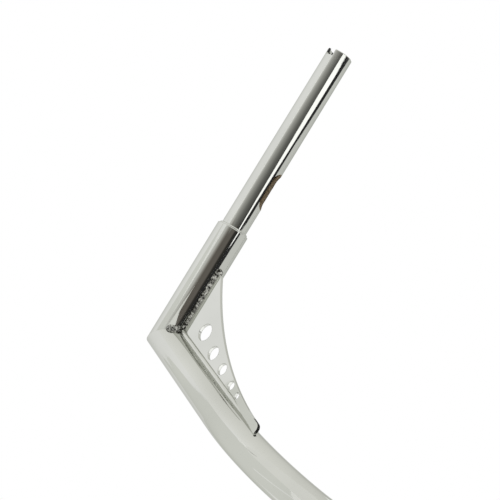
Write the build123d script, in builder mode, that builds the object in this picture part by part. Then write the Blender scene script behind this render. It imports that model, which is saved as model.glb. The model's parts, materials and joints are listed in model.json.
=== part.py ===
"""Ape hanger handlebar.

A flat U of fat tube whose legs splay outwards and lean back. Each leg ends in a mitred corner, braced by
a drilled gusset, where a stub of the same tube turns back towards the rider. The bar steps down to a
thinner tube at the hand grips and across the middle, where the risers clamp it.

Millimetres. The origin is the middle of the clamp tube, X points to the rider's right, Y forward, Z up.
The left half is modelled and the right half is its mirror image.
"""
import os
from math import cos, radians, sin, sqrt

from build123d import *

# Tube stock
grip_od = 25.4  # 1 inch tube at the hand grips and the riser clamps
grip_wall = 2.5
fat_od = 31.75  # 1 1/4 inch tube of the legs and stubs
rim_round = 0.8  # rounding of the fat tube's rim at each step
spigot_relief = 0.3  # taken off the thin tube's radius where it plugs into the fat tube
spigot_clearance = 0.05  # radial room between a spigot and the fat tube's bore
spigot_length = 40.0

# Shape of the bar
lean_angle = 15.0  # the legs lean back from upright, so that the grips lie level
splay_angle = 12.0  # the legs spread outwards from upright
clamp_half = 90.0  # bare clamp tube on each side of the middle
base_half = 150.0  # from the middle to the start of the bend
bend_radius = 139.7  # centre line of the bend
leg_length = 127.0  # straight run from the bend to the mitred corner
stub_length = 118.0  # from the mitred corner to the step
grip_length = 194.0  # bare thin tube past the step

# Openings for the wires and the grip's end
wire_hole_station = 47.5  # from the step to the middle of the wire hole
wire_hole_length = 39.0
wire_hole_width = 16.5
wire_hole_angle = 38.0  # round the grip, from the gusset's side towards the middle of the bar
notch_angle = -90.0  # the end notch faces outwards
notch_width = 10.0
notch_depth = 7.0
grip_end_chamfer = 0.8
wire_exit_length = 32.0
wire_exit_width = 15.0

# Gusset plate
plate_thickness = 3.2
gusset_leg_length = 172.0  # along the leg, from the corner
gusset_stub_length = 75.0  # along the stub, from the corner
toe_height = 6.5  # the plate's height above the tube at its two toes
toe_round = 5.0
edge_sagitta = 14.5  # hollow of the plate's free edge
hole_stations = (0.227, 0.387, 0.523, 0.654, 0.735)  # shares of the plate's length along the leg
hole_heights = (0.45, 0.46, 0.545, 0.6, 0.62)  # centres, as shares of the plate's height there
hole_sizes = (0.417, 0.5, 0.59, 0.635, 0.59)  # diameters, as shares of the plate's height there

# Weld beads
stub_bead_radius = 5.0
leg_bead_radius = 3.4
mitre_bead_height = 2.2
mitre_bead_width = 8.0
mitre_bead_reach = 2.0  # how far the bead goes round past the middle of the mitre
bead_clearance = 0.05  # between the mitre's bead and the gusset's beads
step_bead_leg = 1.8

# Worked out from the sizes above
spigot_od = grip_od - 2 * spigot_relief
fat_bore = spigot_od + 2 * spigot_clearance
grip_bore = grip_od - 2 * grip_wall
lean = radians(lean_angle)
lean_plane = Plane(origin=(0, 0, 0), x_dir=(1, 0, 0), z_dir=(0, -cos(lean), -sin(lean)))
grip_dir = Vector(0, -1, 0)

# The left leg's centre line runs past the corner, and the mitre cuts it there
with BuildLine(lean_plane) as route:
    base_run = Line((-clamp_half, 0), (-base_half, 0))
    bend = JernArc(base_run @ 1, base_run % 1, bend_radius, splay_angle - 90)
    leg_run = Line(bend @ 1, bend @ 1 + (bend % 1) * (leg_length + fat_od))

leg_down = (leg_run % 1) * -1
corner = leg_run @ 0 - leg_down * leg_length
inside = (grip_dir + leg_down).normalized()  # halves the corner, towards the gusset
corner_angle = radians(leg_down.get_angle(grip_dir))

step_plane = Plane(origin=base_run @ 0, x_dir=(0, 1, 0), z_dir=(1, 0, 0))
mitre_plane = Plane(origin=corner, x_dir=inside, z_dir=grip_dir - leg_down)
plate_plane = Plane(origin=corner, x_dir=leg_down, z_dir=leg_down.cross(grip_dir))
grip_plane = Plane(origin=corner, x_dir=leg_down - grip_dir * leg_down.dot(grip_dir), z_dir=grip_dir)
grip_axis = Axis(corner, grip_dir)


def leg_rod(diameter):
    """Solid rod along the left leg's centre line, cut off at the mitre."""
    with BuildPart() as rod:
        with BuildSketch(Plane(origin=base_run @ 0, z_dir=base_run % 0)):
            Circle(diameter / 2)
        sweep(path=route.wire())
        split(bisect_by=mitre_plane, keep=Keep.BOTTOM)
    return rod.part


def stub_rod(diameter):
    """Solid rod along the left stub's centre line, from the mitre to the step."""
    with BuildPart() as rod:
        with BuildSketch(grip_plane.offset(-fat_od)):
            Circle(diameter / 2)
        extrude(amount=fat_od + stub_length)
        split(bisect_by=mitre_plane, keep=Keep.TOP)
    return rod.part


def across_grip(station, angle):
    """Plane on the grip's axis that faces outwards at an angle from the gusset's side."""
    facing = grip_plane.x_dir.rotate(Axis((0, 0, 0), grip_dir), angle)
    return Plane(origin=corner + grip_dir * station, x_dir=grip_dir, z_dir=facing)


def step_bead(plane):
    """Ring bead round a thin tube where it leaves the fat tube's end face."""
    with BuildPart() as ring:
        with BuildSketch(plane):
            Circle(grip_od / 2 + step_bead_leg)
            Circle(spigot_od / 2, mode=Mode.SUBTRACT)
        extrude(amount=step_bead_leg)
        top_edges = ring.edges().filter_by(GeomType.CIRCLE).group_by(Axis(plane.origin, plane.z_dir))[-1]
        fillet(top_edges.sort_by(SortBy.RADIUS)[-1], 0.8 * step_bead_leg)
    return ring.part


leg_outside = leg_rod(fat_od)
leg_inside = leg_rod(fat_bore)
stub_outside = stub_rod(fat_od)
stub_inside = stub_rod(fat_bore)

# Clamp tube across the middle, with a wire exit in its underside; each spigot starts under the ring bead
clamp_end = clamp_half + spigot_length
clamp_land = clamp_half - step_bead_leg
with BuildPart() as clamp_tube:
    with BuildSketch(Plane.YZ.offset(-clamp_end)):
        Circle(spigot_od / 2)
    extrude(amount=2 * clamp_end)
    with BuildSketch(Plane.YZ.offset(-clamp_land)):
        Circle(grip_od / 2)
    extrude(amount=2 * clamp_land)
    with BuildSketch(Plane.YZ.offset(-clamp_end)):
        Circle(grip_bore / 2)
    extrude(amount=2 * clamp_end, mode=Mode.SUBTRACT)
    with BuildSketch(Plane.XY):
        SlotOverall(wire_exit_length, wire_exit_width)
    extrude(amount=-grip_od, mode=Mode.SUBTRACT)

# Bent fat tube from the clamp tube to the mitred corner
with BuildPart() as upright_tube:
    add(leg_outside)
    add(leg_inside, mode=Mode.SUBTRACT)
    step_edges = upright_tube.edges().filter_by(GeomType.CIRCLE).group_by(Axis.X)[-1]
    fillet(step_edges.sort_by(SortBy.RADIUS)[-1], rim_round)

# Fat stub from the mitred corner to the step
with BuildPart() as stub_tube:
    add(stub_outside)
    add(stub_inside, mode=Mode.SUBTRACT)
    step_edges = stub_tube.edges().filter_by(GeomType.CIRCLE).group_by(grip_axis)[-1]
    fillet(step_edges.sort_by(SortBy.RADIUS)[-1], rim_round)

# Thin hand-grip tube with a wire hole and an end notch; its spigot starts under the ring bead
grip_land = stub_length + step_bead_leg
with BuildPart() as grip_tube:
    with BuildSketch(grip_plane.offset(grip_land)):
        Circle(grip_od / 2)
    extrude(amount=grip_length - step_bead_leg)
    end_edges = grip_tube.edges().filter_by(GeomType.CIRCLE).group_by(grip_axis)[-1]
    chamfer(end_edges, grip_end_chamfer)
    with BuildSketch(grip_plane.offset(grip_land)):
        Circle(spigot_od / 2)
    extrude(amount=-(step_bead_leg + spigot_length))
    with BuildSketch(grip_plane.offset(stub_length - spigot_length)):
        Circle(grip_bore / 2)
    extrude(amount=spigot_length + grip_length, mode=Mode.SUBTRACT)
    with BuildSketch(across_grip(stub_length + wire_hole_station, wire_hole_angle)):
        SlotOverall(wire_hole_length, wire_hole_width)
    extrude(amount=grip_od, mode=Mode.SUBTRACT)
    with BuildSketch(across_grip(stub_length + grip_length, notch_angle)):
        Rectangle(2 * notch_depth, notch_width)
    extrude(amount=grip_od, mode=Mode.SUBTRACT)

# Gusset plate before drilling, coped to both tubes; its sketch runs along the leg in X and out from it in Y
along_stub = Vector(cos(corner_angle), sin(corner_angle))
off_stub = Vector(sin(corner_angle), -cos(corner_angle))
toe_reach = fat_od / 2 + toe_height
stub_toe = along_stub * gusset_stub_length + off_stub * toe_reach
stub_foot = along_stub * gusset_stub_length
with BuildLine() as plate_outline:
    foot = Polyline(
        (gusset_leg_length, toe_reach),
        (gusset_leg_length, 0),
        (0, 0),
        (stub_foot.X, stub_foot.Y),
        (stub_toe.X, stub_toe.Y),
    )
    free_edge = SagittaArc(foot @ 0, foot @ 1, edge_sagitta)


def plate_height(station):
    """Height of the plate's hollow edge above the tube, at a place along the leg."""
    centre = free_edge.arc_center
    return centre.Y - sqrt(free_edge.radius**2 - (station - centre.X) ** 2) - fat_od / 2


with BuildPart() as plate_blank:
    with BuildSketch(plate_plane.offset(-plate_thickness / 2)) as outline:
        make_face(plate_outline.edges())
        for toe in (foot @ 0, foot @ 1):
            fillet(outline.vertices().sort_by_distance(toe)[0], toe_round)
    extrude(amount=plate_thickness)
    add(leg_outside, mode=Mode.SUBTRACT)
    add(stub_outside, mode=Mode.SUBTRACT)

# Gusset: the plate with its row of holes, which get smaller as the plate narrows down the leg
with BuildPart() as gusset:
    add(plate_blank.part)
    with BuildSketch(plate_plane.offset(-plate_thickness / 2)):
        for station_share, height_share, size_share in zip(hole_stations, hole_heights, hole_sizes):
            station = station_share * gusset_leg_length
            height = plate_height(station)
            with Locations((station, fat_od / 2 + height_share * height)):
                Circle(size_share * height / 2)
    extrude(amount=plate_thickness, mode=Mode.SUBTRACT)

# Bead between the gusset and the stub, round the plate's toe
stub_line = grip_plane.origin + grip_plane.x_dir * (fat_od / 2)
with BuildPart() as gusset_stub_weld:
    with BuildSketch(Plane(origin=stub_line, x_dir=grip_plane.x_dir, z_dir=grip_dir)):
        Circle(stub_bead_radius)
    extrude(amount=gusset_stub_length)
    with Locations(stub_line + grip_dir * gusset_stub_length):
        Sphere(stub_bead_radius)
    split(bisect_by=mitre_plane, keep=Keep.TOP)
    add(stub_outside, mode=Mode.SUBTRACT)
    add(plate_blank.part, mode=Mode.SUBTRACT)

# Bead between the gusset and the leg, round the plate's toe
leg_line = plate_plane.origin + plate_plane.y_dir * (fat_od / 2)
with BuildPart() as gusset_upright_weld:
    with BuildSketch(Plane(origin=leg_line, x_dir=plate_plane.y_dir, z_dir=leg_down)):
        Circle(leg_bead_radius)
    extrude(amount=gusset_leg_length)
    with Locations(leg_line + leg_down * gusset_leg_length):
        Sphere(leg_bead_radius)
    split(bisect_by=mitre_plane, keep=Keep.BOTTOM)
    add(leg_outside, mode=Mode.SUBTRACT)
    add(plate_blank.part, mode=Mode.SUBTRACT)

# Bead round the inner half of the mitre, on both sides of the gusset and its beads
gusset_beads_half = max(stub_bead_radius, leg_bead_radius) + bead_clearance
mitre_reach = fat_od / 2 / sin(corner_angle / 2)
with BuildPart() as mitre_weld:
    with BuildSketch(mitre_plane):
        Ellipse(mitre_reach + mitre_bead_height, fat_od / 2 + mitre_bead_height)
    extrude(amount=mitre_bead_width / 2, both=True)
    fillet(mitre_weld.edges(), 0.4 * mitre_bead_width)
    split(bisect_by=Plane(origin=corner - inside * mitre_bead_reach, z_dir=inside), keep=Keep.TOP)
    add(leg_outside, mode=Mode.SUBTRACT)
    add(stub_outside, mode=Mode.SUBTRACT)
    with BuildSketch(plate_plane):
        Circle(2 * mitre_reach)
    extrude(amount=gusset_beads_half, both=True, mode=Mode.SUBTRACT)

left_pieces = {
    "upright_tube": upright_tube.part,
    "stub_tube": stub_tube.part,
    "grip_tube": grip_tube.part,
    "gusset": gusset.part,
    "mitre_weld": mitre_weld.part,
    "gusset_stub_weld": gusset_stub_weld.part,
    "gusset_upright_weld": gusset_upright_weld.part,
    "grip_step_weld": step_bead(grip_plane.offset(stub_length)),
    "clamp_step_weld": step_bead(step_plane),
}

os.makedirs("parts", exist_ok=True)
clamp_tube.part.label = "clamp_tube"
export_step(clamp_tube.part, "parts/clamp_tube.step")
for name, piece in left_pieces.items():
    piece.label = "left_" + name
    export_step(piece, f"parts/{piece.label}.step")
    with BuildPart() as right_piece:
        add(piece)
        mirror(about=Plane.YZ, mode=Mode.REPLACE)
    right_piece.part.label = "right_" + name
    export_step(right_piece.part, f"parts/{right_piece.part.label}.step")
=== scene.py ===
"""Looks of a chromed, welded handlebar with drilled corner gussets, on a plain studio stage."""

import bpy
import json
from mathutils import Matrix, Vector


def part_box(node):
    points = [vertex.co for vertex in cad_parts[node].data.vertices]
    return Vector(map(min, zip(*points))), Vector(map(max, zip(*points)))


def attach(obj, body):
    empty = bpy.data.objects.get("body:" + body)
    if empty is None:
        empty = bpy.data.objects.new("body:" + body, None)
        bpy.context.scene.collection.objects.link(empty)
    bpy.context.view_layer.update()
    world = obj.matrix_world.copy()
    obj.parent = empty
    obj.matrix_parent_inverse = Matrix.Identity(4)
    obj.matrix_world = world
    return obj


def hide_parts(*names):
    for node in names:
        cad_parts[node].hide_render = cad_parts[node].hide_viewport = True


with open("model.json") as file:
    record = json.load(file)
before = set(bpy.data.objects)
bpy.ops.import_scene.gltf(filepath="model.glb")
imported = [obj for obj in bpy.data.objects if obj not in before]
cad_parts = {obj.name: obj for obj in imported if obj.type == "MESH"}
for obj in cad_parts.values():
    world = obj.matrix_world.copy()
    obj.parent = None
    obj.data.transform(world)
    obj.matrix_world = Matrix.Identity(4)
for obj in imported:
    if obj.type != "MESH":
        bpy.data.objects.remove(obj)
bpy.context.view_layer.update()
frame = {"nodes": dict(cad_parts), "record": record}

import json
import math

import bmesh
import bpy
from bpy.props import FloatProperty, FloatVectorProperty, PointerProperty
from mathutils import Matrix, Vector, noise

bl_info = {
    "name": "Drilled Gusset Handlebar",
    "version": (1, 0, 0),
    "blender": (4, 5, 0),
    "location": "View3D > Sidebar > Handlebar",
    "description": "Chrome, weld beads, knurled clamp bands and a plain studio for the handlebar",
    "category": "Object",
}

# The two halves of the bar, and the hand by which the left half is mirrored to make each of them.
SIDES = {"left": 1.0, "right": -1.0}

# Where the axis of the right grip lies, and the radii of the thin tube and of its bore.
MOUNTS = {mount["name"]: mount for mount in frame["record"]["mounts"]}
GRIP_AXIS = Vector(MOUNTS["right_grip_seat"]["pos_m"])
THIN_RADIUS = MOUNTS["right_grip_seat"]["dims"]["r_mm"] / 1000
BORE_RADIUS = MOUNTS["right_bar_end"]["dims"]["r_mm"] / 1000

# The left corner, where the axes of the upright and the stub meet, and the ways out of it.
CORNER_ALONG = -0.060791
CORNER = Vector((-GRIP_AXIS.x, CORNER_ALONG, GRIP_AXIS.z))
GRIP_WAY = Vector((0.0, -1.0, 0.0))
LEG_WAY = Vector((0.2079, 0.2532, -0.9448))

# The fat tube's radius, and the ways from the axes of the stub and the upright to the gusset.
STUB_LOW, STUB_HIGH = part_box("left_stub_tube")
FAT_RADIUS = (STUB_HIGH.x - STUB_LOW.x) / 2
STUB_SIDE = (LEG_WAY - GRIP_WAY * LEG_WAY.dot(GRIP_WAY)).normalized()
LEG_SIDE = (GRIP_WAY - LEG_WAY * GRIP_WAY.dot(LEG_WAY)).normalized()

# The middle of the gusset's toe and the way its flat sides face, both folded to the positive side.
GUSSET_TOE = (0.2770, 0.0395, 0.0630)
GUSSET_FACING = [abs(part) for part in LEG_WAY.cross(GRIP_WAY).normalized()]

# The viewpoint: below the bar and outside the rider's left grip, looking up at the corner.
VIEW_EYE = Vector((-0.83078, -0.05853, -0.90223))
VIEW_LOOK = Vector((0.4320, -0.0901, 0.8974))
VIEW_UP = Vector((-0.5029, -0.8500, 0.1568))
VIEW_LENS = 96.73
SENSOR_WIDTH = 36.0

# Input and output numbers of the Mix node, which holds a set of sockets for each kind of value.
MIX_FACTOR = 0
MIX_VALUE_A = 2
MIX_VALUE_B = 3
MIX_COLOUR_A = 6
MIX_COLOUR_B = 7
MIX_VALUE_OUT = 0
MIX_COLOUR_OUT = 2

# Octaves of each noise, and how strong an octave of a broken noise is beside the one before it.
HAZE_OCTAVES = 3.0
RIPPLE_OCTAVES = 1.0
STAIN_OCTAVES = 4.0
PIT_OCTAVES = 4.0
GRIT_OCTAVES = 2.0
BROKEN = 0.6

# Noise at which haze passes into bright polish, and the roughness of both beside the mean one.
HAZE_LOW, HAZE_HIGH = 0.3, 0.7
HAZE_ROUGHNESS, POLISH_ROUGHNESS = 1.5, 0.6

# Samples by which the shading rounds an edge, the share of the dark toe edge's reach that is fully
# dark, and how far a face may turn to the plate's flat side and still be a cut edge.
EDGE_SAMPLES = 6
FULL_DARK_SHARE = 0.85
EDGE_TURN = 0.6

# Noise at which a weld's crevices pass into its lumps, and the count and height of its grit beside
# those of the lumps.
CREVICE_LOW, CREVICE_HIGH = 0.41, 0.60
GRIT_PER_LUMP = 3.0
GRIT_HEIGHT = 0.2

# How a bead's mesh is merged and smoothed before its lumps are raised.
MERGE_DISTANCE = 1e-6
SMOOTH_ROUNDS = 2
SMOOTH_SHARE = 0.5

# A lump falls off from the middle of its cell. CELL_EDGE is the distance at which it is level, and
# finer noise breaks it up.
CELL_EDGE = 0.45
CELL_SHARE = 1.5
FINE_PER_LUMP = 3
FINE_SHARE = 0.3

# The floor's half width and its paper's roughness, and the soft light's spread and turn.
FLOOR_REACH = 40.0
PAPER_ROUGHNESS = 0.9
SUN_SPREAD = math.radians(50)
SUN_TURN = (math.radians(-20), math.radians(-18), 0.0)

# How brightly the two brightest cards shine, and the step between cards that lie over each other.
WHITE = "#FFFFFF"
STRIPE_GLOW = 1.5
SCREEN_GLOW = 1.3
CARD_STEP = 0.01

# The cards lie where the chrome mirrors them as the light and dark tones of the photograph.
# Outlines of the cards under the bar, in metres across it and along it: the bright stripe on the
# grip, and the black band beside it.
STRIPE = (
    (-0.50, -0.770),
    (0.72, -0.790),
    (0.68, -0.68),
    (0.53, -0.54),
    (0.36, -0.41),
    (0.34, -0.345),
    (0.24, -0.32),
    (0.17, -0.295),
    (0.07, -0.295),
    (0.06, -0.32),
    (0.08, -0.345),
    (-0.06, -0.40),
    (-0.24, -0.53),
    (-0.42, -0.65),
)
BLACK = (
    (-0.35, -0.86),
    (0.60, -0.86),
    (1.20, -0.93),
    (2.50, -1.20),
    (4.20, -1.75),
    (4.00, -1.54),
    (3.00, -1.25),
    (2.50, -1.00),
    (1.60, -0.69),
    (1.35, -0.55),
    (1.25, -0.42),
    (0.75, -0.36),
    (0.60, -0.25),
    (0.55, -0.05),
    (-0.10, -0.05),
    (-0.10, -0.60),
    (-0.35, -0.60),
)

# The graded cards under the grip and the stub share one edge. Paler floor lies behind and beside.
CARD_SPLIT = ((-0.1, -0.332), (-1.5, -0.352), (-8.0, -1.03))
GRIP_CARD = ((-8.0, -2.4), (-2.5, -1.08), (-1.2, -0.85), (-0.1, -0.82)) + CARD_SPLIT
STUB_CARD = ((-8.0, -0.1), (-3.0, -0.06), (-0.1, -0.05)) + CARD_SPLIT
REAR_FLOOR = (
    (-8.0, -3.0),
    (-0.3, -3.0),
    (-0.3, -0.87),
    (-1.2, -0.9),
    (-2.5, -1.12),
    (-8.0, -2.45),
)
FLOOR_GREY = ((0.5, -2.0), (6.0, -2.0), (6.0, 1.4), (0.5, 1.4))

# How the graded cards fade across the bar: the place in metres, and the colour there.
GRIP_FADE = (
    (-8.0, "#EEEEEC"),
    (-3.5, "#B9B9B5"),
    (-1.8, "#989894"),
    (-1.0, "#72726F"),
    (-0.1, "#4C4C4A"),
)
STUB_FADE = (
    (-8.0, "#E2E2DF"),
    (-3.5, "#CACAC6"),
    (-2.6, "#A6A39E"),
    (-1.75, "#6B6660"),
    (-0.7, "#6E6964"),
    (-0.45, "#373532"),
    (-0.1, "#30302E"),
)
REAR_FADE = (
    (-8.0, "#FDFDFB"),
    (-4.0, "#F7F7F4"),
    (-1.5, "#F1F1ED"),
    (0.5, "#E9E9E5"),
    (3.0, "#DADAD6"),
)

# Corners of the other cards. The first hides the dark cards from the lower bend. The second
# brightens the walls of the gusset's holes, and the order of its corners makes it face outwards.
BEND_SCREEN = (
    (-0.235, -0.008, -0.02),
    (-0.235, -0.034, -0.02),
    (-0.420, -0.080, -0.02),
    (-0.700, -0.112, -0.02),
    (-0.700, -0.015, -0.02),
)
HOLE_SCREEN = (
    (-0.15, -0.152, 0.070),
    (-0.15, -0.05, 0.075),
    (-0.15, 0.11, 0.13),
    (-0.15, 0.11, 0.01),
    (-0.15, -0.14, 0.0),
)

# Outside the bar: the shade on the upright's outer half, and the light gap in front of it.
UPRIGHT_SHADE = (
    (-0.9, 0.00, 0.62),
    (-0.9, 0.50, 1.30),
    (-0.9, 1.25, 2.85),
    (-0.9, 4.00, 6.00),
    (-0.9, 4.00, -1.20),
    (-0.9, 0.06, -0.68),
    (-0.9, -0.15, -0.30),
    (-0.9, -0.05, 0.05),
    (-0.9, -0.20, 0.25),
    (-0.9, -0.25, 0.45),
)
SHADE_GAP = (
    (-0.899, 0.58, 0.03),
    (-0.899, 0.52, 0.03),
    (-0.899, 0.38, -0.72),
    (-0.899, 0.44, -0.72),
)

# Beyond the far grip, behind both grips, and high over the bar.
SIDE_GREY = ((4.0, -7.0, -1.25), (4.0, 3.0, -1.25), (4.0, 3.0, 4.5), (4.0, -7.0, 4.5))
REAR_CARD = ((-8.0, -3.0, -1.5), (3.0, -3.0, -1.5), (3.0, -3.0, 6.0), (-8.0, -3.0, 6.0))
EDGE_CARD = ((-0.85, 1.3, 2.5), (0.8, 1.3, 2.5), (0.8, 5.0, 2.5), (-0.85, 5.0, 2.5))


def linear(hex_colour):
    """Turn an sRGB hex colour into linear red, green and blue."""
    channels = [int(hex_colour[start:start + 2], 16) / 255 for start in (1, 3, 5)]
    return tuple(c / 12.92 if c <= 0.04045 else ((c + 0.055) / 1.055) ** 2.4 for c in channels)


def opaque(colour):
    """Give a colour the alpha that a shader's colour socket asks for."""
    return (*colour, 1.0)


def colour_setting(name, hex_colour, description):
    """A colour that the panel shows."""
    return FloatVectorProperty(
        name=name,
        description=description,
        subtype="COLOR",
        size=3,
        min=0.0,
        max=1.0,
        default=linear(hex_colour),
    )


def length_setting(name, metres, description):
    """A size or a place in metres that the panel shows."""
    return FloatProperty(
        name=name, description=description, unit="LENGTH", precision=5, default=metres
    )


def share_setting(name, share, description):
    """A share between nought and one that the panel shows."""
    return FloatProperty(
        name=name, description=description, subtype="FACTOR", min=0.0, max=1.0, default=share
    )


class ChromeFinish(bpy.types.PropertyGroup):
    """Bright chrome on the tubes and the plates."""

    bright: colour_setting(
        "Bright plating", "#DCDDD8", "Colour of the chrome where the polish is best"
    )
    hazy: colour_setting(
        "Hazy plating", "#CDCEC9", "Colour of the chrome where the polish is a little dull"
    )
    edge: colour_setting("Grazing tint", "#D6D7D4", "Tint of the reflection at a grazing angle")
    roughness: share_setting("Polish roughness", 0.045, "Mean roughness of the polished plating")
    cloud_size: length_setting("Haze size", 0.045, "Width of one patch of haze")
    ripple_size: length_setting(
        "Ripple size", 0.011, "Width of one ripple that the polishing wheel left"
    )
    ripple_height: length_setting(
        "Ripple height", 0.00003, "Height of the ripples that the polishing wheel left"
    )
    edge_round: length_setting(
        "Edge rounding",
        0.0008,
        "How far polishing has rounded the plates' edges and the rims of their holes",
    )
    # The gusset's toe: the dark colour on the cut edge round it, its roughness, and how far it
    # reaches.
    dark_toe: colour_setting(
        "Dark toe edge", "#2A2A29", "Colour of the gusset's toe, where the weld burnt the steel"
    )
    dark_toe_roughness: share_setting("Dark toe roughness", 0.5, "Roughness of the dark toe edge")
    dark_toe_reach: length_setting(
        "Dark toe reach", 0.0082, "How far the dark edge reaches from the gusset's toe"
    )


class BareSteelFinish(bpy.types.PropertyGroup):
    """Steel inside the tubes, which the plating does not reach."""

    steel: colour_setting("Bare steel", "#B8A68C", "Colour of the bare steel inside the bores")
    rust: colour_setting("Stained steel", "#857760", "Colour of the stains on the bare steel")
    roughness: share_setting("Bare roughness", 0.6, "Roughness of the bare steel")
    metallic: share_setting(
        "Bare metal", 0.3, "How far the bare steel looks like metal under its dull skin"
    )
    stain_size: length_setting("Stain size", 0.004, "Width of one stain")
    throw: length_setting(
        "Plating throw",
        0.0022,
        "How far the bare steel reaches out into the wall at a cut edge",
    )
    bare_until: length_setting(
        "Bare steel stops",
        0.355,
        "Distance along the bar from which the plating also lines the bore",
    )


class WeldFinish(bpy.types.PropertyGroup):
    """Chromed weld metal in the corner."""

    metal: colour_setting("Weld plating", "#C8C8C2", "Colour of the plating over the weld metal")
    crevice: colour_setting(
        "Weld crevices", "#2C2B28", "Colour of the crevices, where the plating is thin"
    )
    roughness: share_setting("Weld roughness", 0.12, "Roughness of the plating on the lumps")
    crevice_roughness: share_setting(
        "Crevice roughness", 0.4, "Roughness of the thin plating in the crevices"
    )
    grain: length_setting(
        "Mesh grain", 0.0005, "Edge length of the mesh that the weld lumps are shaped on"
    )
    lump_size: length_setting("Lump size", 0.0027, "Width of one lump of the rough beads")
    lump_height: length_setting("Lump height", 0.0009, "Height of one lump of the rough beads")
    stub_draw: share_setting(
        "Stub bead draw",
        0.22,
        "Share by which the bead along the stub is slimmer than its solid at its widest",
    )
    stub_thin_draw: share_setting(
        "Stub bead thin draw",
        0.42,
        "Share by which the bead along the stub is slimmer than its solid in the corner",
    )
    stub_thin: length_setting(
        "Stub bead thin up to",
        0.025,
        "Distance from the corner up to which the bead along the stub is thin",
    )
    stub_full: length_setting(
        "Stub bead full from",
        0.070,
        "Distance from the corner from which the bead along the stub is at its widest",
    )
    crust: length_setting(
        "Corner crust", 0.0015, "How far the bead stands out in the inside of the corner"
    )
    seam_sink: length_setting(
        "Mitre seam sink",
        0.0028,
        "How far the mitre's bead is ground down away from the inside of the corner",
    )
    seam_from: length_setting(
        "Seam starts",
        0.0120,
        "Distance from the corner's middle at which the bead is ground down to a seam",
    )
    crust_from: length_setting(
        "Crust starts",
        0.0155,
        "Distance from the corner's middle at which the bead is left rough",
    )
    upright_rise: length_setting(
        "Upright bead rise",
        0.0007,
        "How far the smooth bead along the upright stands out of its solid",
    )
    upright_fade: length_setting(
        "Upright bead fades",
        0.120,
        "Distance from the corner at which the bead along the upright starts to fade out",
    )
    upright_end: length_setting(
        "Upright bead ends",
        0.155,
        "Distance from the corner at which the bead along the upright has faded out",
    )
    end_draw: share_setting(
        "Upright bead end draw",
        0.8,
        "Share by which the bead along the upright is slimmer and shorter where it ends",
    )
    wave_size: length_setting(
        "Smooth bead wave", 0.007, "Length of one wave on the smooth bead along the upright"
    )
    wave_height: length_setting(
        "Smooth bead height", 0.00018, "Height of the waves on the smooth bead along the upright"
    )


class KnurlFinish(bpy.types.PropertyGroup):
    """Diamond knurl that the riser clamps bite on."""

    centre: length_setting(
        "Band centre",
        0.04445,
        "Distance from the middle of the bar to the middle of a knurled band",
    )
    half_width: length_setting("Band half width", 0.019, "Half the width of a knurled band")
    pitch: length_setting("Knurl pitch", 0.0016, "Distance from one diamond to the next")
    depth: length_setting("Knurl depth", 0.0003, "Depth of the knurl's grooves")


class StudioSettings(bpy.types.PropertyGroup):
    """Floor, lights and reflector cards round the bar."""

    floor_height: length_setting(
        "Floor height", -1.6, "Height of the floor, which lies below the low viewpoint"
    )
    card_height: length_setting(
        "Card height", -1.3, "Height of the reflector cards under the bar"
    )
    floor_colour: colour_setting("Floor colour", "#F4F4F2", "Colour of the plain floor")
    floor_lift: share_setting(
        "Floor lift", 0.22, "White that the floor adds for the eye and for the chrome"
    )
    sun_strength: FloatProperty(
        name="Key light", description="Strength of the soft overhead light", default=1.3
    )
    fill_strength: FloatProperty(
        name="Fill light",
        description="Strength of the even light from all round on dull surfaces",
        default=0.5,
    )


def plug_in(tree, node, inputs):
    """Fill a node's inputs, each with a plain value or with a link from the socket that feeds it."""
    for socket, value in inputs.items():
        if isinstance(value, bpy.types.NodeSocket):
            tree.links.new(value, node.inputs[socket])
        else:
            node.inputs[socket].default_value = value


def add_node(tree, kind, inputs=None, **settings):
    """Add a node, make its settings, and fill its inputs with values or with links."""
    node = tree.nodes.new(kind)
    for setting, value in settings.items():
        setattr(node, setting, value)
    plug_in(tree, node, inputs or {})
    return node


def emptied_tree(owner):
    """Switch a material or the world to nodes, and clear away those that it starts with."""
    owner.use_nodes = True
    owner.node_tree.nodes.clear()
    return owner.node_tree


def new_material(name):
    """Start a material, and give it back with its tree and its shader."""
    material = bpy.data.materials.new(name)
    tree = emptied_tree(material)
    shader = add_node(tree, "ShaderNodeBsdfPrincipled")
    add_node(tree, "ShaderNodeOutputMaterial", {"Surface": shader.outputs["BSDF"]})
    return material, tree, shader


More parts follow.
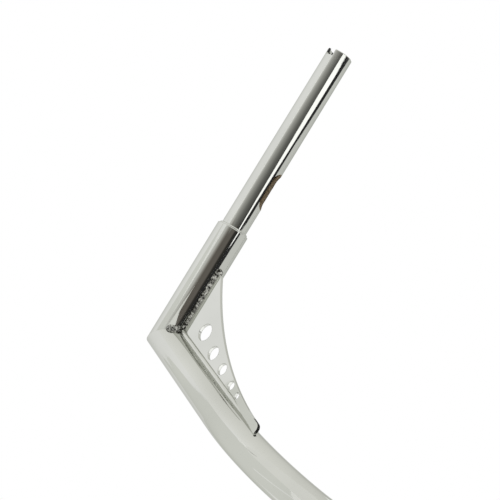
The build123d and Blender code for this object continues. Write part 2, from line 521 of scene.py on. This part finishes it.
def chromed_steel(name, scene, bore=None, knurled=False, cut_plate=False):
    """Bright nickel and chrome over polished mild steel.

    A mirror with a cool grey cast, patches of slight haze and the long soft ripples of the
    polishing wheel. The plating does not reach into the tubes, so a bore is dull brown steel. The
    edges of a cut plate are polished round, and the cut edge round its toe is coloured dark.
    """
    finish = scene.handlebar_chrome
    material, tree, shader = new_material(name)
    place = add_node(tree, "ShaderNodeTexCoord").outputs["Object"]
    haze = add_node(
        tree,
        "ShaderNodeTexNoise",
        {"Vector": place, "Scale": 1 / finish.cloud_size, "Detail": HAZE_OCTAVES},
    ).outputs["Fac"]
    colour = add_node(
        tree,
        "ShaderNodeMix",
        {
            MIX_FACTOR: haze,
            MIX_COLOUR_A: opaque(finish.hazy),
            MIX_COLOUR_B: opaque(finish.bright),
        },
        data_type="RGBA",
    ).outputs[MIX_COLOUR_OUT]
    roughness = add_node(
        tree,
        "ShaderNodeMapRange",
        {
            "Value": haze,
            "From Min": HAZE_LOW,
            "From Max": HAZE_HIGH,
            "To Min": finish.roughness * HAZE_ROUGHNESS,
            "To Max": finish.roughness * POLISH_ROUGHNESS,
        },
    ).outputs["Result"]
    ripple = add_node(
        tree,
        "ShaderNodeTexNoise",
        {"Vector": place, "Scale": 1 / finish.ripple_size, "Detail": RIPPLE_OCTAVES},
    ).outputs["Fac"]
    ripples = {"Strength": 1.0, "Distance": finish.ripple_height, "Height": ripple}
    if cut_plate:
        rounded = add_node(
            tree, "ShaderNodeBevel", {"Radius": finish.edge_round}, samples=EDGE_SAMPLES
        )
        ripples["Normal"] = rounded.outputs["Normal"]
    normal = add_node(tree, "ShaderNodeBump", ripples).outputs["Normal"]
    metallic = 1.0
    if knurled:
        normal = knurl_normal(tree, place, normal, scene.handlebar_knurl)
    if bore:
        steel = scene.handlebar_steel
        inside = bore_mask(tree, place, bore, steel)
        colour, roughness, metallic = bare_bore(tree, place, inside, steel, colour, roughness)
    # A cut plate's toe edge is coloured dark.
    if cut_plate:
        colour, roughness = darken_toe(tree, finish, colour, roughness)
    plug_in(
        tree,
        shader,
        {
            "Base Color": colour,
            "Metallic": metallic,
            "Roughness": roughness,
            "Specular Tint": opaque(finish.edge),
            "Normal": normal,
        },
    )
    return material


def bore_mask(tree, place, bore, steel):
    """One inside a tube's bore and nought outside it, from the distance to the tube's axis."""
    axis_point, across = bore
    folded = add_node(tree, "ShaderNodeVectorMath", {0: place}, operation="ABSOLUTE")
    from_axis = add_node(
        tree,
        "ShaderNodeVectorMath",
        {0: folded.outputs["Vector"], 1: axis_point},
        operation="SUBTRACT",
    )
    flat = add_node(
        tree,
        "ShaderNodeVectorMath",
        {0: from_axis.outputs["Vector"], 1: across},
        operation="MULTIPLY",
    )
    radius = add_node(
        tree, "ShaderNodeVectorMath", {0: flat.outputs["Vector"]}, operation="LENGTH"
    ).outputs["Value"]
    along = add_node(
        tree, "ShaderNodeSeparateXYZ", {"Vector": folded.outputs["Vector"]}
    ).outputs["Y"]
    plated_from = add_node(
        tree,
        "ShaderNodeMapRange",
        {
            "Value": along,
            "From Min": steel.bare_until,
            "From Max": steel.bare_until + steel.stain_size,
            "To Min": BORE_RADIUS + steel.throw,
            "To Max": 0.0,
        },
    ).outputs["Result"]
    return add_node(
        tree, "ShaderNodeMath", {0: radius, 1: plated_from}, operation="LESS_THAN"
    ).outputs["Value"]


def bare_bore(tree, place, inside, steel, colour, roughness):
    """Chrome's colour and roughness with dull, stained steel inside the bore, and how metallic."""
    stain = add_node(
        tree,
        "ShaderNodeTexNoise",
        {
            "Vector": place,
            "Scale": 1 / steel.stain_size,
            "Detail": STAIN_OCTAVES,
            "Roughness": BROKEN,
        },
    ).outputs["Fac"]
    bare = add_node(
        tree,
        "ShaderNodeMix",
        {MIX_FACTOR: stain, MIX_COLOUR_A: opaque(steel.rust), MIX_COLOUR_B: opaque(steel.steel)},
        data_type="RGBA",
    ).outputs[MIX_COLOUR_OUT]
    colour = add_node(
        tree,
        "ShaderNodeMix",
        {MIX_FACTOR: inside, MIX_COLOUR_A: colour, MIX_COLOUR_B: bare},
        data_type="RGBA",
    ).outputs[MIX_COLOUR_OUT]
    roughness = add_node(
        tree,
        "ShaderNodeMix",
        {MIX_FACTOR: inside, MIX_VALUE_A: roughness, MIX_VALUE_B: steel.roughness},
    ).outputs[MIX_VALUE_OUT]
    metallic = add_node(
        tree,
        "ShaderNodeMix",
        {MIX_FACTOR: inside, MIX_VALUE_A: 1.0, MIX_VALUE_B: steel.metallic},
    ).outputs[MIX_VALUE_OUT]
    return colour, roughness, metallic


def darken_toe(tree, finish, colour, roughness):
    """Chrome's colour and roughness with a dark colour on the cut edge round the gusset's toe."""
    toe = toe_mask(tree, finish)
    colour = add_node(
        tree,
        "ShaderNodeMix",
        {MIX_FACTOR: toe, MIX_COLOUR_A: colour, MIX_COLOUR_B: opaque(finish.dark_toe)},
        data_type="RGBA",
    ).outputs[MIX_COLOUR_OUT]
    roughness = add_node(
        tree,
        "ShaderNodeMix",
        {MIX_FACTOR: toe, MIX_VALUE_A: roughness, MIX_VALUE_B: finish.dark_toe_roughness},
    ).outputs[MIX_VALUE_OUT]
    return colour, roughness


def toe_mask(tree, finish):
    """One on the cut edge round the gusset's toe, which is coloured dark."""
    here = add_node(tree, "ShaderNodeTexCoord").outputs
    folded = add_node(tree, "ShaderNodeVectorMath", {0: here["Object"]}, operation="ABSOLUTE")
    away = add_node(
        tree,
        "ShaderNodeVectorMath",
        {0: folded.outputs["Vector"], 1: GUSSET_TOE},
        operation="DISTANCE",
    ).outputs["Value"]
    near = add_node(
        tree,
        "ShaderNodeMapRange",
        {
            "Value": away,
            "From Min": finish.dark_toe_reach * FULL_DARK_SHARE,
            "From Max": finish.dark_toe_reach,
            "To Min": 1.0,
            "To Max": 0.0,
        },
    ).outputs["Result"]
    facing = add_node(tree, "ShaderNodeVectorMath", {0: here["Normal"]}, operation="ABSOLUTE")
    flat = add_node(
        tree,
        "ShaderNodeVectorMath",
        {0: facing.outputs["Vector"], 1: GUSSET_FACING},
        operation="DOT_PRODUCT",
    ).outputs["Value"]
    on_edge = add_node(
        tree, "ShaderNodeMath", {0: flat, 1: EDGE_TURN}, operation="LESS_THAN"
    ).outputs["Value"]
    return add_node(
        tree, "ShaderNodeMath", {0: near, 1: on_edge}, operation="MULTIPLY"
    ).outputs["Value"]


def knurl_normal(tree, place, normal, knurl):
    """Diamond grooves in two bands round the clamp tube, a little coarse so that they show."""
    axes = add_node(tree, "ShaderNodeSeparateXYZ", {"Vector": place}).outputs
    turn = add_node(
        tree, "ShaderNodeMath", {0: axes["Y"], 1: axes["Z"]}, operation="ARCTAN2"
    ).outputs["Value"]
    teeth = round(2 * math.pi * THIN_RADIUS / knurl.pitch)
    round_phase = add_node(
        tree, "ShaderNodeMath", {0: turn, 1: float(teeth)}, operation="MULTIPLY"
    ).outputs["Value"]
    along_phase = add_node(
        tree, "ShaderNodeMath", {0: axes["X"], 1: 2 * math.pi / knurl.pitch}, operation="MULTIPLY"
    ).outputs["Value"]
    grooves = []
    for hand in ("ADD", "SUBTRACT"):
        phase = add_node(tree, "ShaderNodeMath", {0: round_phase, 1: along_phase}, operation=hand)
        wave = add_node(tree, "ShaderNodeMath", {0: phase.outputs["Value"]}, operation="COSINE")
        grooves.append(wave.outputs["Value"])
    diamonds = add_node(
        tree, "ShaderNodeMath", {0: grooves[0], 1: grooves[1]}, operation="MINIMUM"
    ).outputs["Value"]
    side = add_node(tree, "ShaderNodeMath", {0: axes["X"]}, operation="ABSOLUTE").outputs["Value"]
    in_band = add_node(
        tree,
        "ShaderNodeMath",
        {0: side, 1: knurl.centre, 2: knurl.half_width},
        operation="COMPARE",
    ).outputs["Value"]
    height = add_node(
        tree, "ShaderNodeMath", {0: diamonds, 1: in_band}, operation="MULTIPLY"
    ).outputs["Value"]
    return add_node(
        tree,
        "ShaderNodeBump",
        {"Strength": 1.0, "Distance": knurl.depth, "Height": height, "Normal": normal},
    ).outputs["Normal"]


def chromed_weld(name, scene):
    """Chrome straight over hand-laid weld metal.

    The plating follows each lump, so it glitters in points, and it goes dull in the crevices.
    """
    weld = scene.handlebar_weld
    material, tree, shader = new_material(name)
    place = add_node(tree, "ShaderNodeTexCoord").outputs["Object"]
    pits = add_node(
        tree,
        "ShaderNodeTexNoise",
        {
            "Vector": place,
            "Scale": 1 / weld.lump_size,
            "Detail": PIT_OCTAVES,
            "Roughness": BROKEN,
        },
    ).outputs["Fac"]
    shade = add_node(
        tree,
        "ShaderNodeMapRange",
        {"Value": pits, "From Min": CREVICE_LOW, "From Max": CREVICE_HIGH},
    ).outputs["Result"]
    colour = add_node(
        tree,
        "ShaderNodeMix",
        {
            MIX_FACTOR: shade,
            MIX_COLOUR_A: opaque(weld.crevice),
            MIX_COLOUR_B: opaque(weld.metal),
        },
        data_type="RGBA",
    ).outputs[MIX_COLOUR_OUT]
    roughness = add_node(
        tree,
        "ShaderNodeMapRange",
        {"Value": shade, "To Min": weld.crevice_roughness, "To Max": weld.roughness},
    ).outputs["Result"]
    grit = add_node(
        tree,
        "ShaderNodeTexNoise",
        {"Vector": place, "Scale": GRIT_PER_LUMP / weld.lump_size, "Detail": GRIT_OCTAVES},
    ).outputs["Fac"]
    normal = add_node(
        tree,
        "ShaderNodeBump",
        {"Strength": 1.0, "Distance": weld.lump_height * GRIT_HEIGHT, "Height": grit},
    ).outputs["Normal"]
    plug_in(
        tree,
        shader,
        {"Base Color": colour, "Metallic": 1.0, "Roughness": roughness, "Normal": normal},
    )
    return material


def dress(node_name, material):
    """Put a finish on a CAD node that keeps its shape."""
    frame["nodes"][node_name].material_slots[0].material = material


def remeshed_bead(node_name, grain):
    """Copy a CAD bead into a piece whose mesh is even and fine enough for lumps."""
    mesh = frame["nodes"][node_name].data.copy()
    work = bmesh.new()
    work.from_mesh(mesh)
    bmesh.ops.remove_doubles(work, verts=work.verts, dist=MERGE_DISTANCE)
    work.to_mesh(mesh)
    work.free()
    piece = bpy.data.objects.new(node_name + "_metal", mesh)
    bpy.context.scene.collection.objects.link(piece)
    voxels = piece.modifiers.new("Voxels", "REMESH")
    voxels.mode = "VOXEL"
    voxels.voxel_size = grain
    seen = piece.evaluated_get(bpy.context.evaluated_depsgraph_get())
    remeshed = bpy.data.meshes.new_from_object(seen)
    if not remeshed.vertices:
        raise RuntimeError(node_name + " left no weld metal to shape")
    piece.modifiers.clear()
    piece.data = remeshed
    remeshed.name = piece.name
    bpy.data.meshes.remove(mesh)
    return piece


def shaped_bead(node_name, material, weld, shift):
    """Shape weld metal on a copy of a CAD bead, which it then stands for.

    shift takes a point of the bead's skin and the skin's normal there, and gives the point's move.
    """
    piece = remeshed_bead(node_name, weld.grain)
    mesh = piece.data
    work = bmesh.new()
    work.from_mesh(mesh)
    for smoothing in range(SMOOTH_ROUNDS):
        bmesh.ops.smooth_vert(
            work,
            verts=work.verts,
            factor=SMOOTH_SHARE,
            use_axis_x=True,
            use_axis_y=True,
            use_axis_z=True,
        )
    work.normal_update()
    moves = [shift(vert.co, vert.normal) for vert in work.verts]
    for vert, move in zip(work.verts, moves):
        vert.co += move
    work.to_mesh(mesh)
    work.free()
    mesh.materials.clear()
    mesh.materials.append(material)
    mesh.shade_smooth()
    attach(piece, "root")
    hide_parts(node_name)


def lump(spot, size):
    """Height of hand-laid weld metal at a spot, between about minus one half and one half."""
    place = spot / size
    nearest = noise.voronoi(place)[0][0]
    return (CELL_EDGE - nearest) * CELL_SHARE + noise.noise(place * FINE_PER_LUMP) * FINE_SHARE


def ease(value, low, high):
    """Nought up to low, one from high on, and smooth between them."""
    share = min(1.0, max(0.0, (value - low) / (high - low)))
    return share * share * (3 - 2 * share)


def drawn_in(spot, root, way, share):
    """Move of a point of a bead towards the bead's root line, by a share of its distance."""
    arm = spot - root
    return (way * arm.dot(way) - arm) * share


def bead_shifts(weld, mirror):
    """Give the moves that shape the three beads of one corner, by the ends of the beads' names."""
    corner = mirror @ CORNER
    inward = mirror @ (GRIP_WAY + LEG_WAY).normalized()
    mitre_normal = mirror @ (GRIP_WAY - LEG_WAY).normalized()
    stub_root = corner + mirror @ STUB_SIDE * FAT_RADIUS
    leg_way = mirror @ LEG_WAY
    leg_root = corner + mirror @ LEG_SIDE * FAT_RADIUS

    def mitre_shift(spot, normal):
        """A rough crust in the inside of the corner, and a seam ground down outside it."""
        arm = spot - corner
        rough_share = ease(arm.dot(inward), weld.seam_from, weld.crust_from)
        outward = (arm - mitre_normal * arm.dot(mitre_normal)).normalized()
        rise = lump(spot, weld.lump_size) * weld.lump_height + weld.crust
        return normal * rise * rough_share - outward * weld.seam_sink * (1 - rough_share)

    def stub_shift(spot, normal):
        """Lumps all along the bead, which is thin in the corner and widens along the stub."""
        reach = ease((spot - corner).dot(GRIP_WAY), weld.stub_thin, weld.stub_full)
        slimmer = weld.stub_thin_draw + (weld.stub_draw - weld.stub_thin_draw) * reach
        rise = lump(spot, weld.lump_size) * weld.lump_height
        return normal * rise + drawn_in(spot, stub_root, GRIP_WAY, slimmer)

    def upright_shift(spot, normal):
        """Smooth waves along the bead, which fades out before the gusset's toe."""
        along = (spot - corner).dot(leg_way)
        fade = ease(along, weld.upright_fade, weld.upright_end)
        wave = noise.noise(spot / weld.wave_size) * weld.wave_height
        rise = (weld.upright_rise + wave) * (1 - fade)
        slim = drawn_in(spot, leg_root, leg_way, weld.end_draw * fade)
        tucked = leg_way * max(0.0, along - weld.upright_end) * weld.end_draw
        return normal * rise + slim - tucked

    return {
        "mitre_weld": mitre_shift,
        "gusset_stub_weld": stub_shift,
        "gusset_upright_weld": upright_shift,
    }


class HANDLEBAR_OT_tubes(bpy.types.Operator):
    """Chrome the tubes, knurl the clamp tube and leave the bores bare"""

    bl_idname = "handlebar.tubes"
    bl_label = "Finish the Tubes"

    def execute(self, context):
        scene = context.scene
        plain = chromed_steel("Bright chrome on bent steel tube", scene)
        grip = chromed_steel(
            "Bright chrome on grip tube, bare steel bore",
            scene,
            bore=((GRIP_AXIS.x, 0.0, GRIP_AXIS.z), (1.0, 0.0, 1.0)),
        )
        clamp = chromed_steel(
            "Bright chrome on knurled clamp tube, bare steel bore",
            scene,
            bore=((0.0, 0.0, 0.0), (0.0, 1.0, 1.0)),
            knurled=True,
        )
        dress("clamp_tube", clamp)
        for side in SIDES:
            dress(side + "_grip_tube", grip)
            for piece in ("upright_tube", "stub_tube", "grip_step_weld", "clamp_step_weld"):
                dress(side + "_" + piece, plain)
        return {"FINISHED"}


class HANDLEBAR_OT_gussets(bpy.types.Operator):
    """Chrome the two drilled gussets"""

    bl_idname = "handlebar.gussets"
    bl_label = "Finish the Gussets"

    def execute(self, context):
        # The plate's toe edge is coloured dark in this material.
        plate = chromed_steel(
            "Bright chrome on drilled steel plate, dark toe edge", context.scene, cut_plate=True
        )
        for side in SIDES:
            dress(side + "_gusset", plate)
        return {"FINISHED"}


class HANDLEBAR_OT_corner_welds(bpy.types.Operator):
    """Shape the lumps of the weld beads round the two corners"""

    bl_idname = "handlebar.corner_welds"
    bl_label = "Shape the Corner Welds"

    def execute(self, context):
        weld = context.scene.handlebar_weld
        rough = chromed_weld("Chrome on rough weld bead", context.scene)
        smooth = chromed_steel("Bright chrome on smooth weld bead", context.scene)
        finishes = {"mitre_weld": rough, "gusset_stub_weld": rough, "gusset_upright_weld": smooth}
        for side, hand in SIDES.items():
            shifts = bead_shifts(weld, Matrix.Diagonal((hand, 1.0, 1.0)))
            for bead, material in finishes.items():
                shaped_bead(side + "_" + bead, material, weld, shifts[bead])
        return {"FINISHED"}


def flat_card(name, corners, material):
    """A flat reflector card, seen only by the chrome."""
    mesh = bpy.data.meshes.new(name)
    work = bmesh.new()
    work.faces.new([work.verts.new(corner) for corner in corners])
    work.to_mesh(mesh)
    work.free()
    mesh.materials.append(material)
    card = bpy.data.objects.new(name, mesh)
    bpy.context.scene.collection.objects.link(card)
    card.visible_camera = False
    card.visible_diffuse = False
    card.visible_transmission = False
    card.visible_volume_scatter = False
    card.visible_shadow = False


def card_material(name, hex_colour, glow=1.0, clear_back=False):
    """Painted card that shines evenly, so that only its outline shows in the chrome.

    A card with a clear back is there for the chrome on its front side alone.
    """
    material = bpy.data.materials.new(name)
    tree = emptied_tree(material)
    surface = add_node(
        tree, "ShaderNodeEmission", {"Color": opaque(linear(hex_colour)), "Strength": glow}
    ).outputs["Emission"]
    if clear_back:
        behind = add_node(tree, "ShaderNodeNewGeometry").outputs["Backfacing"]
        clear = add_node(tree, "ShaderNodeBsdfTransparent").outputs["BSDF"]
        surface = add_node(
            tree, "ShaderNodeMixShader", {0: behind, 1: surface, 2: clear}
        ).outputs["Shader"]
    add_node(tree, "ShaderNodeOutputMaterial", {"Surface": surface})
    return material


def graded_card_material(name, stops):
    """Card that fades from light to dark across the bar; stops give a place and a hex colour."""
    material = bpy.data.materials.new(name)
    tree = emptied_tree(material)
    place = add_node(tree, "ShaderNodeTexCoord").outputs["Object"]
    across = add_node(tree, "ShaderNodeSeparateXYZ", {"Vector": place}).outputs["X"]
    first, last = stops[0][0], stops[-1][0]
    share = add_node(
        tree, "ShaderNodeMapRange", {"Value": across, "From Min": first, "From Max": last}
    ).outputs["Result"]
    ramp = add_node(tree, "ShaderNodeValToRGB", {"Fac": share})
    points = ramp.color_ramp.elements
    while len(points) < len(stops):
        points.new(0.5)
    for point, (where, hex_colour) in zip(points, stops):
        point.position = (where - first) / (last - first)
        point.color = opaque(linear(hex_colour))
    glow = add_node(tree, "ShaderNodeEmission", {"Color": ramp.outputs["Color"]})
    add_node(tree, "ShaderNodeOutputMaterial", {"Surface": glow.outputs["Emission"]})
    return material


def seen_directly(tree):
    """One for rays from the camera, a mirror or glass, and nought for the light on dull surfaces."""
    path = add_node(tree, "ShaderNodeLightPath").outputs
    mirrored = add_node(
        tree,
        "ShaderNodeMath",
        {0: path["Is Camera Ray"], 1: path["Is Glossy Ray"]},
        operation="MAXIMUM",
    ).outputs["Value"]
    return add_node(
        tree,
        "ShaderNodeMath",
        {0: mirrored, 1: path["Is Transmission Ray"]},
        operation="MAXIMUM",
    ).outputs["Value"]


class HANDLEBAR_OT_stage(bpy.types.Operator):
    """Set the camera, the floor, the soft light and the reflector cards"""

    bl_idname = "handlebar.stage"
    bl_label = "Set the Stage"

    def execute(self, context):
        scene = context.scene
        studio = scene.handlebar_studio
        scene.view_settings.view_transform = "Standard"
        self.add_camera(scene)
        self.add_world(scene, studio)
        self.add_floor(scene, studio)
        self.add_light(scene, studio)
        self.add_cards(studio)
        return {"FINISHED"}

    def add_camera(self, scene):
        """Look at the corner from the photograph's side, from below."""
        data = bpy.data.cameras.new("Camera")
        data.lens = VIEW_LENS
        data.sensor_width = SENSOR_WIDTH
        back = -VIEW_LOOK.normalized()
        right = VIEW_UP.cross(back).normalized()
        up = back.cross(right)
        turn = Matrix((right, up, back)).transposed().to_4x4()
        camera = bpy.data.objects.new("Camera", data)
        scene.collection.objects.link(camera)
        camera.matrix_world = Matrix.Translation(VIEW_EYE) @ turn
        scene.camera = camera

    def add_world(self, scene, studio):
        """White all round for the eye and for the chrome, and a plain level for dull surfaces."""
        world = bpy.data.worlds.new("Plain white studio")
        tree = emptied_tree(world)
        strength = add_node(
            tree,
            "ShaderNodeMapRange",
            {"Value": seen_directly(tree), "To Min": studio.fill_strength, "To Max": 1.0},
        ).outputs["Result"]
        around = add_node(
            tree,
            "ShaderNodeBackground",
            {"Color": opaque(linear(WHITE)), "Strength": strength},
        )
        add_node(tree, "ShaderNodeOutputWorld", {"Surface": around.outputs["Background"]})
        scene.world = world

    def add_floor(self, scene, studio):
        """A wide pale floor that keeps the bar's shadow."""
        mesh = bpy.data.meshes.new("Floor")
        work = bmesh.new()
        bmesh.ops.create_grid(work, x_segments=1, y_segments=1, size=FLOOR_REACH)
        bmesh.ops.translate(work, verts=work.verts, vec=(0.0, 0.0, studio.floor_height))
        work.to_mesh(mesh)
        work.free()
        material, tree, shader = new_material("Pale studio paper")
        lift = add_node(
            tree,
            "ShaderNodeMapRange",
            {"Value": seen_directly(tree), "To Min": 0.0, "To Max": studio.floor_lift},
        ).outputs["Result"]
        plug_in(
            tree,
            shader,
            {
                "Base Color": opaque(studio.floor_colour),
                "Roughness": PAPER_ROUGHNESS,
                "Specular IOR Level": 0.0,
                "Emission Color": opaque(linear(WHITE)),
                "Emission Strength": lift,
            },
        )
        mesh.materials.append(material)
        floor = bpy.data.objects.new("Floor", mesh)
        scene.collection.objects.link(floor)

    def add_light(self, scene, studio):
        """One large soft light from above, kept out of the reflections."""
        data = bpy.data.lights.new("Soft overhead light", "SUN")
        data.energy = studio.sun_strength
        data.angle = SUN_SPREAD
        light = bpy.data.objects.new("Soft overhead light", data)
        light.rotation_euler = SUN_TURN
        light.visible_glossy = False
        scene.collection.objects.link(light)

    def add_cards(self, studio):
        """Light and dark cards for the chrome to mirror, under the bar and round it."""
        white = card_material("White reflector card", WHITE, STRIPE_GLOW)
        plain = card_material("Plain white card", WHITE)
        bright = card_material("Bright white card", WHITE, SCREEN_GLOW, clear_back=True)
        off_white = card_material("Off-white card", "#F5F5F2")
        pale = card_material("Pale grey card", "#EBECE8")
        grey = card_material("Grey card", "#DEDFDC")
        black = card_material("Black card", "#303031")
        grip_fade = graded_card_material("Card fading under the grip", GRIP_FADE)
        stub_fade = graded_card_material("Card fading under the stub", STUB_FADE)
        rear_fade = graded_card_material("Card fading behind the grips", REAR_FADE)
        for name, outline, layer, material in (
            ("White_stripe", STRIPE, 2, white),
            ("Black_card", BLACK, 1, black),
            ("Grip_fade", GRIP_CARD, 0, grip_fade),
            ("Stub_fade", STUB_CARD, 0, stub_fade),
            ("Floor_grey", FLOOR_GREY, -1, grey),
            ("Rear_floor", REAR_FLOOR, -1, off_white),
        ):
            level = studio.card_height + layer * CARD_STEP
            flat_card(name, [(x, y, level) for x, y in outline], material)
        for name, corners, material in (
            ("Bend_screen", BEND_SCREEN, off_white),
            ("Hole_screen", HOLE_SCREEN, bright),
            ("Shade_gap", SHADE_GAP, plain),
            ("Upright_shade", UPRIGHT_SHADE, pale),
            ("Side_grey", SIDE_GREY, grey),
            ("Rear_fade", REAR_CARD, rear_fade),
            ("Edge_shade", EDGE_CARD, pale),
        ):
            flat_card(name, corners, material)


class HANDLEBAR_PT_panel(bpy.types.Panel):
    """Sizes, colours and steps of the handlebar"""

    bl_label = "Handlebar"
    bl_idname = "HANDLEBAR_PT_panel"
    bl_space_type = "VIEW_3D"
    bl_region_type = "UI"
    bl_category = "Handlebar"

    def draw(self, context):
        for operator in OPERATORS:
            self.layout.operator(operator.bl_idname)
        for pointer, group in GROUPS.items():
            box = self.layout.box()
            box.label(text=group.__doc__)
            for setting in group.__annotations__:
                box.prop(getattr(context.scene, pointer), setting)


GROUPS = {
    "handlebar_chrome": ChromeFinish,
    "handlebar_steel": BareSteelFinish,
    "handlebar_weld": WeldFinish,
    "handlebar_knurl": KnurlFinish,
    "handlebar_studio": StudioSettings,
}
OPERATORS = (
    HANDLEBAR_OT_tubes,
    HANDLEBAR_OT_gussets,
    HANDLEBAR_OT_corner_welds,
    HANDLEBAR_OT_stage,
)


def register():
    for pointer, group in GROUPS.items():
        bpy.utils.register_class(group)
        setattr(bpy.types.Scene, pointer, PointerProperty(type=group))
    for operator in OPERATORS:
        bpy.utils.register_class(operator)
    bpy.utils.register_class(HANDLEBAR_PT_panel)


def unregister():
    bpy.utils.unregister_class(HANDLEBAR_PT_panel)
    for operator in reversed(OPERATORS):
        bpy.utils.unregister_class(operator)
    for pointer, group in reversed(GROUPS.items()):
        delattr(bpy.types.Scene, pointer)
        bpy.utils.unregister_class(group)


def main():
    """Register the tools and run them in order."""
    register()
    bpy.ops.handlebar.tubes()
    bpy.ops.handlebar.gussets()
    bpy.ops.handlebar.corner_welds()
    bpy.ops.handlebar.stage()


if __name__ == "__main__":
    main()
